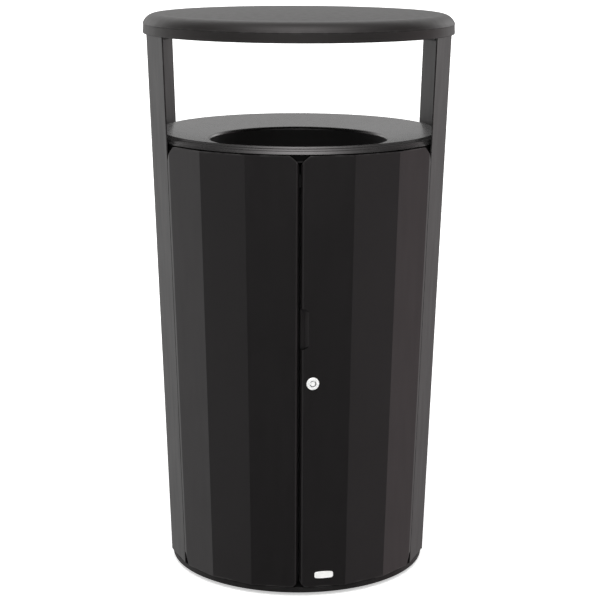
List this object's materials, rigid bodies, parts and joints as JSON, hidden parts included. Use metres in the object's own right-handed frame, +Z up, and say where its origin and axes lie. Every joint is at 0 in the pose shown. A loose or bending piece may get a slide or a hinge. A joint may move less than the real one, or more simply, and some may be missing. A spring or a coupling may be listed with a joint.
{
  "type": "litter bin",
  "caption": "Round black litter bin with a faceted tapering wall, front doors, a funnel deck with a round mouth, a lift-out liner and a domed hood on side uprights.",
  "frame": {"origin": "on the ground, at the centre of the bin", "axes": "+Z up; front, with the two doors, faces -Y; +X to the right seen from the front"},
  "size_m": [0.6719, 0.672, 1.229],
  "materials": {
    "panel_coat": "satin black powder coat",
    "frame_coat": "satin black powder coat",
    "base_coat": "satin black powder coat",
    "spun_coat": "fine textured black coat",
    "liner_plastic": "matt moulded",
    "glide_nylon": "matt moulded",
    "rubber": "matt",
    "lock_chrome": "polished",
    "badge_metal": "satin",
    "zinc_steel": "zinc plated"
  },
  "bodies": {
    "frame": {"base_plate": "base_coat", "deck": "spun_coat", "deck_nuts": "zinc_steel", "deck_screws": "zinc_steel", "glide_nuts": "zinc_steel", "glide_pads": "glide_nylon", "glide_studs": "zinc_steel", "hood": "spun_coat", "hood_nuts": "zinc_steel", "hood_post_cleats": "frame_coat", "hood_post_nuts": "zinc_steel", "hood_post_studs": "zinc_steel", "hood_ring": "frame_coat", "hood_spacers": "zinc_steel", "hood_studs": "zinc_steel", "lower_cleats": "frame_coat", "lower_nuts": "zinc_steel", "lower_pivots": "zinc_steel", "lower_studs": "zinc_steel", "rear_panel_left": "panel_coat", "rear_panel_right": "panel_coat", "seam_strip_left": "frame_coat", "seam_strip_rear": "frame_coat", "seam_strip_right": "frame_coat", "side_upright_left": "panel_coat", "side_upright_right": "panel_coat", "upper_cleats": "frame_coat", "upper_nuts": "zinc_steel", "upper_pivot_brackets": "frame_coat", "upper_pivot_pins": "zinc_steel", "upper_ring": "frame_coat", "upper_studs": "zinc_steel"},
    "door_left": {"door_left": "panel_coat", "door_stiffeners_left": "frame_coat", "door_lugs_left": "frame_coat", "door_bumper_left": "rubber", "upper_bolt_guide": "frame_coat", "lower_bolt_guide": "frame_coat"},
    "door_right": {"door_right": "panel_coat", "door_stiffeners_right": "frame_coat", "door_lugs_right": "frame_coat", "door_bumper_right": "rubber", "finger_pull": "panel_coat", "badge_plate": "badge_metal", "lock_housing": "lock_chrome", "lock_nut": "zinc_steel"},
    "lock_cam": {"lock_plug": "lock_chrome", "cam_tongue": "zinc_steel", "cam_nut": "zinc_steel"},
    "upper_bolt": {"upper_slide_bolt": "zinc_steel"},
    "lower_bolt": {"lower_slide_bolt": "zinc_steel"},
    "liner": {"liner": "liner_plastic"}
  },
  "joints": [
    {"name": "door_left_hinge", "type": "hinge", "parent": "frame", "child": "door_left", "pos_m": [-0.25219, -0.15559, 0.5], "axis": [0.0308, 0.0174, -0.9994], "range_deg": [0, 105]},
    {"name": "door_right_hinge", "type": "hinge", "parent": "frame", "child": "door_right", "pos_m": [0.25219, -0.15559, 0.5], "axis": [0.0308, -0.0174, 0.9994], "range_deg": [0, 105]},
    {"name": "lock_turn", "type": "hinge", "parent": "door_right", "child": "lock_cam", "pos_m": [0.02803, -0.29979, 0.478], "axis": [-0.177, 0.9836, 0.035], "range_deg": [0, 90]},
    {"name": "upper_bolt_slide", "type": "slide", "parent": "door_left", "child": "upper_bolt", "axis": [-0.0062, -0.0345, 0.9994], "range_m": [0, 0.02]},
    {"name": "lower_bolt_slide", "type": "slide", "parent": "door_left", "child": "lower_bolt", "axis": [0.0062, 0.0345, -0.9994], "range_m": [0, 0.014]},
    {"name": "liner_lift", "type": "slide", "parent": "frame", "child": "liner", "axis": [0, 0, 1], "range_m": [0, 0.035]}
  ]
}
